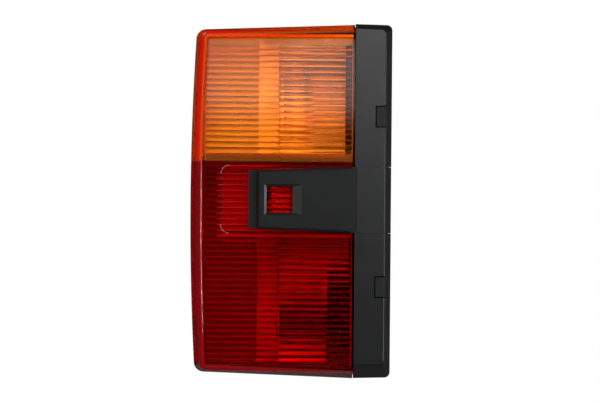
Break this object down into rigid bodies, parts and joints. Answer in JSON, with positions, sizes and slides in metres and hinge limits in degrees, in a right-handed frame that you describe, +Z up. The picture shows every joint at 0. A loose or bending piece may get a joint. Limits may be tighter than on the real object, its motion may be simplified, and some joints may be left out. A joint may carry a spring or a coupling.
{
  "type": "tail light cluster",
  "caption": "Upright car tail light cluster with an amber lens over a red lens, both fluted inside, a black side cover and a black centre panel with a square window.",
  "frame": {"origin": "middle of the four mounting studs, on the plane where the gasket meets the body panel", "axes": "+X to the right as seen from in front of the lens, +Y into the car body along the studs, +Z up"},
  "size_m": [0.1425, 0.0847, 0.2516],
  "materials": {
    "amber_acrylic": "moulded acrylic, polished",
    "red_acrylic": "moulded acrylic, polished",
    "seal_rubber": "soft moulded rubber",
    "panel_black": "fine-grained black ABS",
    "cover_black": "fine-grained black ABS",
    "seal_grey": "soft pale grey rubber",
    "housing_abs": "moulded pale grey ABS",
    "shelf_grey": "moulded mid grey ABS",
    "gasket_foam": "closed-cell foam",
    "zinc_steel": "zinc plated",
    "metallised": "vacuum metallised",
    "bulb_glass": "clear glass",
    "cap_nickel": "nickel plated brass",
    "filament_wire": "drawn wire",
    "sleeve_steel": "zinc plated sheet steel",
    "holder_nylon": "black nylon",
    "contact_brass": "bright brass"
  },
  "bodies": {
    "root": {"amber_lens": "amber_acrylic", "body_gasket": "gasket_foam", "centre_panel": "panel_black", "housing": "housing_abs", "lens_seal": "seal_grey", "mounting_studs": "zinc_steel", "red_lens": "red_acrylic", "side_cover": "cover_black", "stop_bulb_cap": "cap_nickel", "stop_bulb_filament": "filament_wire", "stop_bulb_glass": "bulb_glass", "stop_contacts": "contact_brass", "stop_holder_washer": "seal_rubber", "stop_lamp_holder": "holder_nylon", "stop_lamp_sleeve": "sleeve_steel", "stop_reflector": "metallised", "stop_shelf": "shelf_grey", "stop_shield": "shelf_grey", "stop_terminals": "contact_brass", "tub": "housing_abs", "turn_bulb_cap": "cap_nickel", "turn_bulb_filament": "filament_wire", "turn_bulb_glass": "bulb_glass", "turn_contacts": "contact_brass", "turn_holder_washer": "seal_rubber", "turn_lamp_holder": "holder_nylon", "turn_lamp_sleeve": "sleeve_steel", "turn_reflector": "metallised", "turn_terminals": "contact_brass", "window_reflector": "metallised"}
  },
  "joints": []
}
